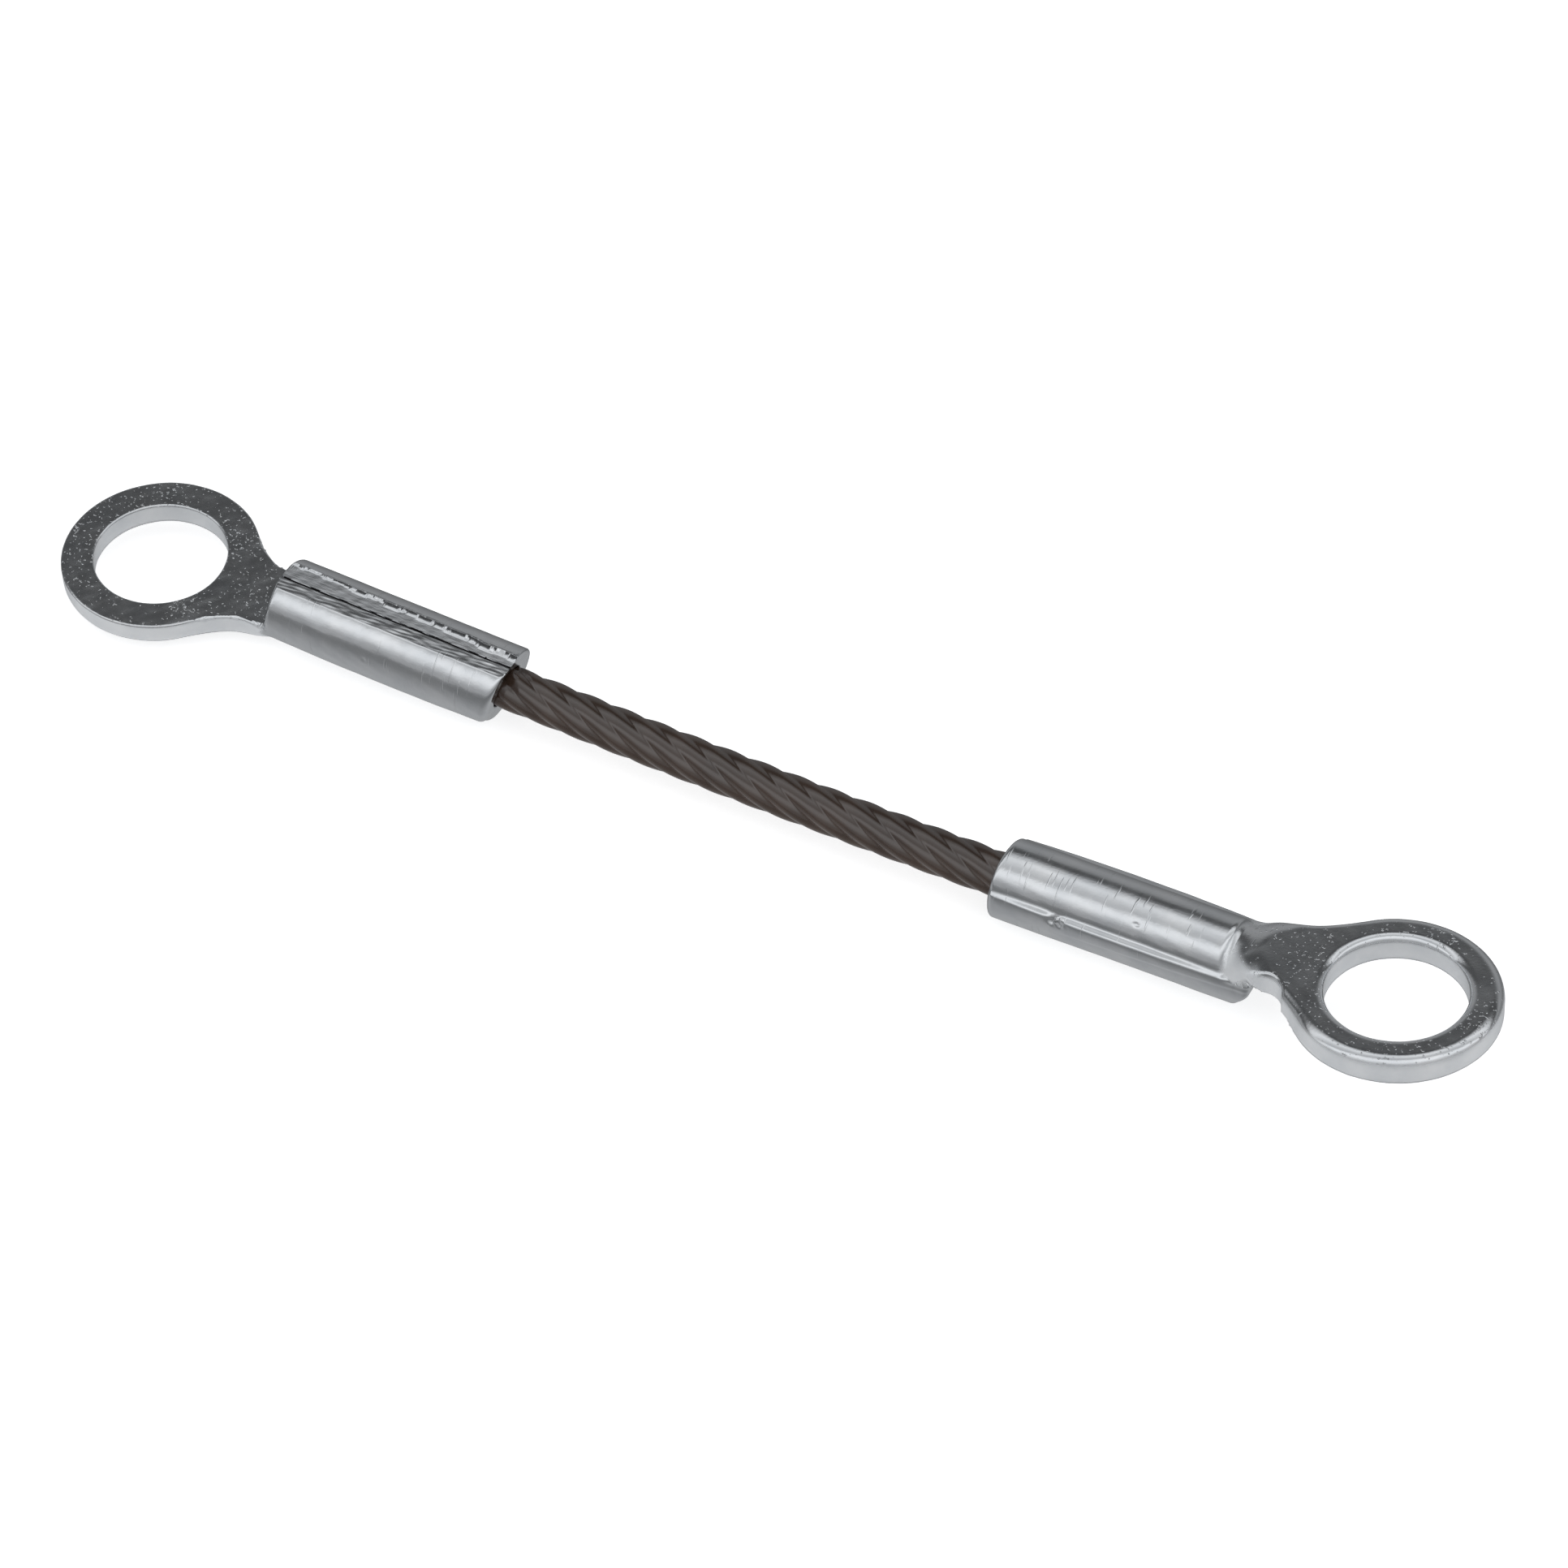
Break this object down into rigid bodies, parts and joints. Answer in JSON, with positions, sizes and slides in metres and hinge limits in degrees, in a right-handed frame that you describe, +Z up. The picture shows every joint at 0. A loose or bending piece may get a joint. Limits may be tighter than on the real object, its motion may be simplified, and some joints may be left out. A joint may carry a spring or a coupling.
{
  "type": "wire rope sling",
  "caption": "Short straight plastic-coated wire rope with a stamped ring terminal crimped on each end, one turned over, for linking two pins or bolts.",
  "frame": {"origin": "half-way between the two barrel mouths, on the line that joins their centres; the free rope sags 0.4 mm below it", "axes": "+X along that line towards the right ring, +Z up, across the flats of the rings; the rings are 2.75 degrees off it about the rope, opposite ways"},
  "size_m": [0.1672, 0.0212, 0.0104],
  "materials": {
    "zinc_plate": "zinc-plated stamped steel, satin, burnished where the crimping die pressed",
    "rope_jacket": "dark warm grey plastic drawn tight over the strands, semi-gloss",
    "rope_wire": "galvanized steel wire strands"
  },
  "bodies": {
    "left_end": {"left_terminal": "zinc_plate", "jacket_1": "rope_jacket", "core_strand_1": "rope_wire", "outer_strands_1": "rope_wire"},
    "rope_2": {"jacket_2": "rope_jacket", "core_strand_2": "rope_wire", "outer_strands_2": "rope_wire"},
    "rope_3": {"jacket_3": "rope_jacket", "core_strand_3": "rope_wire", "outer_strands_3": "rope_wire"},
    "rope_4": {"jacket_4": "rope_jacket", "core_strand_4": "rope_wire", "outer_strands_4": "rope_wire"},
    "rope_5": {"jacket_5": "rope_jacket", "core_strand_5": "rope_wire", "outer_strands_5": "rope_wire"},
    "rope_6": {"jacket_6": "rope_jacket", "core_strand_6": "rope_wire", "outer_strands_6": "rope_wire"},
    "rope_7": {"jacket_7": "rope_jacket", "core_strand_7": "rope_wire", "outer_strands_7": "rope_wire"},
    "rope_8": {"jacket_8": "rope_jacket", "core_strand_8": "rope_wire", "outer_strands_8": "rope_wire"},
    "right_end": {"right_terminal": "zinc_plate", "jacket_9": "rope_jacket", "core_strand_9": "rope_wire", "outer_strands_9": "rope_wire"}
  },
  "joints": [
    {"name": "vertical_bend", "type": "hinge", "parent": "left_end", "child": "rope_2", "pos_m": [-0.02502, 0, -0.0001], "axis": [0, -1, 0], "range_deg": [-14, 14], "stiffness_Nm_per_rad": 0.5},
    {"name": "sideways_bend", "type": "hinge", "parent": "rope_2", "child": "rope_3", "pos_m": [-0.01787, 0, -0.00024], "axis": [0, 0, 1], "range_deg": [-14, 14], "stiffness_Nm_per_rad": 0.5},
    {"name": "vertical_bend_2", "type": "hinge", "parent": "rope_3", "child": "rope_4", "pos_m": [-0.01073, 0, -0.00033], "axis": [0, -1, 0], "range_deg": [-14, 14], "stiffness_Nm_per_rad": 0.5},
    {"name": "sideways_bend_2", "type": "hinge", "parent": "rope_4", "child": "rope_5", "pos_m": [-0.00358, 0, -0.00038], "axis": [0, 0, 1], "range_deg": [-14, 14], "stiffness_Nm_per_rad": 0.5},
    {"name": "vertical_bend_3", "type": "hinge", "parent": "rope_5", "child": "rope_6", "pos_m": [0.00358, 0, -0.00038], "axis": [0, -1, 0], "range_deg": [-14, 14], "stiffness_Nm_per_rad": 0.5},
    {"name": "sideways_bend_3", "type": "hinge", "parent": "rope_6", "child": "rope_7", "pos_m": [0.01073, 0, -0.00033], "axis": [0, 0, 1], "range_deg": [-14, 14], "stiffness_Nm_per_rad": 0.5},
    {"name": "vertical_bend_4", "type": "hinge", "parent": "rope_7", "child": "rope_8", "pos_m": [0.01787, 0, -0.00024], "axis": [0, -1, 0], "range_deg": [-14, 14], "stiffness_Nm_per_rad": 0.5},
    {"name": "sideways_bend_4", "type": "hinge", "parent": "rope_8", "child": "right_end", "pos_m": [0.02502, 0, -0.0001], "axis": [0, 0, 1], "range_deg": [-14, 14], "stiffness_Nm_per_rad": 0.5}
  ],
  "couplings": [
    {"joint": "vertical_bend_2", "follows": "vertical_bend", "ratio": 1},
    {"joint": "sideways_bend_2", "follows": "sideways_bend", "ratio": 1},
    {"joint": "vertical_bend_3", "follows": "vertical_bend", "ratio": 1},
    {"joint": "sideways_bend_3", "follows": "sideways_bend", "ratio": 1},
    {"joint": "vertical_bend_4", "follows": "vertical_bend", "ratio": 1},
    {"joint": "sideways_bend_4", "follows": "sideways_bend", "ratio": 1}
  ]
}
